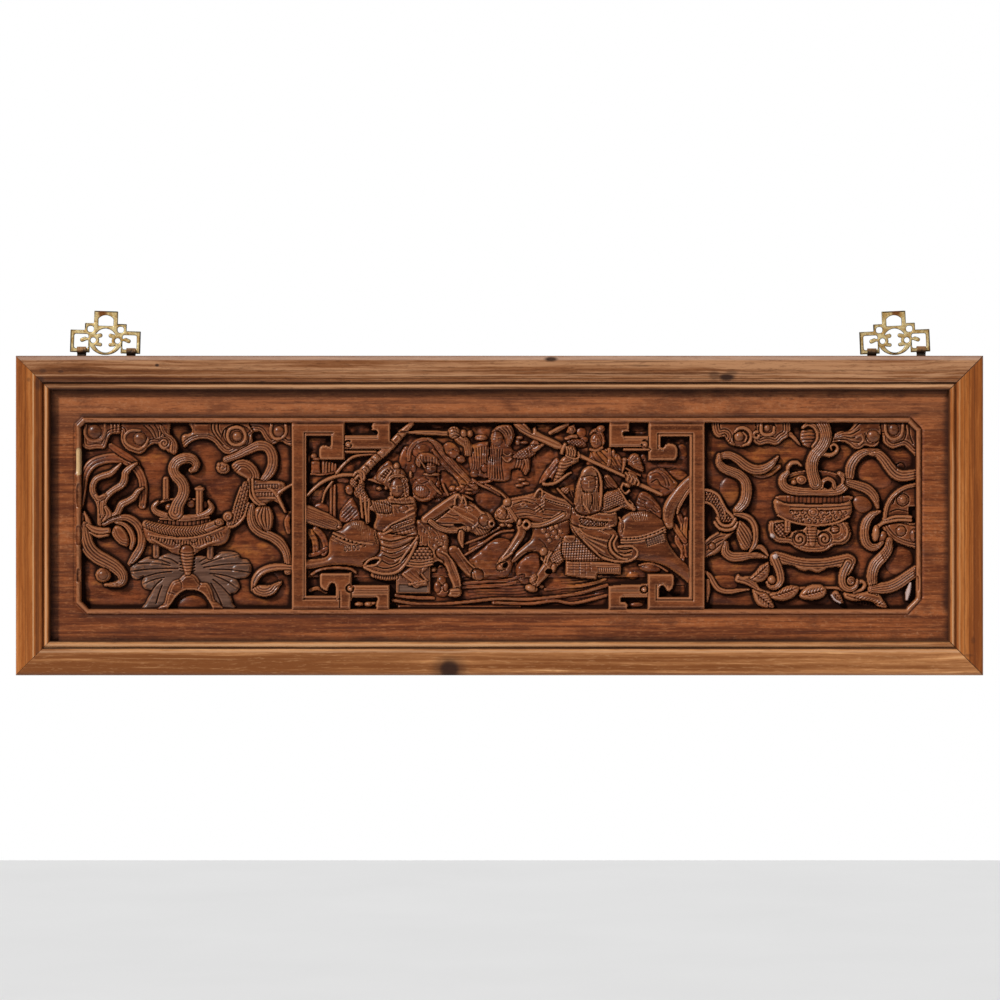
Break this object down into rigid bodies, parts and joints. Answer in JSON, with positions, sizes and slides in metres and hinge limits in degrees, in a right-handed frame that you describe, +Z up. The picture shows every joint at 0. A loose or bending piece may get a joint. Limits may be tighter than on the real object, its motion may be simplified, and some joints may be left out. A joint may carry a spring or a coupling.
{
  "type": "carved wall panel",
  "caption": "Long carved hardwood panel with mounted warriors, incense burners, clouds and ribbons in a mitred moulded frame, hung by pierced brass hangers.",
  "frame": {"origin": "middle of the back face of the frame's top rail, the face that lies on the wall", "axes": "+X to the right seen from the front, +Y back into the wall, +Z up; the carving faces -Y"},
  "size_m": [0.9654, 0.03, 0.3649],
  "materials": {
    "frame_wood": "satin",
    "board_wood": "satin",
    "brass": "satin"
  },
  "bodies": {
    "panel": {"frame_top_rail": "frame_wood", "frame_bottom_rail": "frame_wood", "frame_left_stile": "frame_wood", "frame_right_stile": "frame_wood", "carved_board": "board_wood", "left_hanger_left_strap": "brass", "left_hanger_right_strap": "brass", "right_hanger_left_strap": "brass", "right_hanger_right_strap": "brass"},
    "left_hanger": {"left_hanger": "brass"},
    "right_hanger": {"right_hanger": "brass"}
  },
  "joints": [
    {"name": "left_hanger_swing", "type": "hinge", "parent": "panel", "child": "left_hanger", "pos_m": [-0.3955, -0.01, 0.0225], "axis": [0.9996, 0, -0.0297], "range_deg": [-90, 90]},
    {"name": "right_hanger_swing", "type": "hinge", "parent": "panel", "child": "right_hanger", "pos_m": [0.3968, -0.01, 0.0225], "axis": [0.999, 0, 0.0454], "range_deg": [-90, 90]}
  ]
}
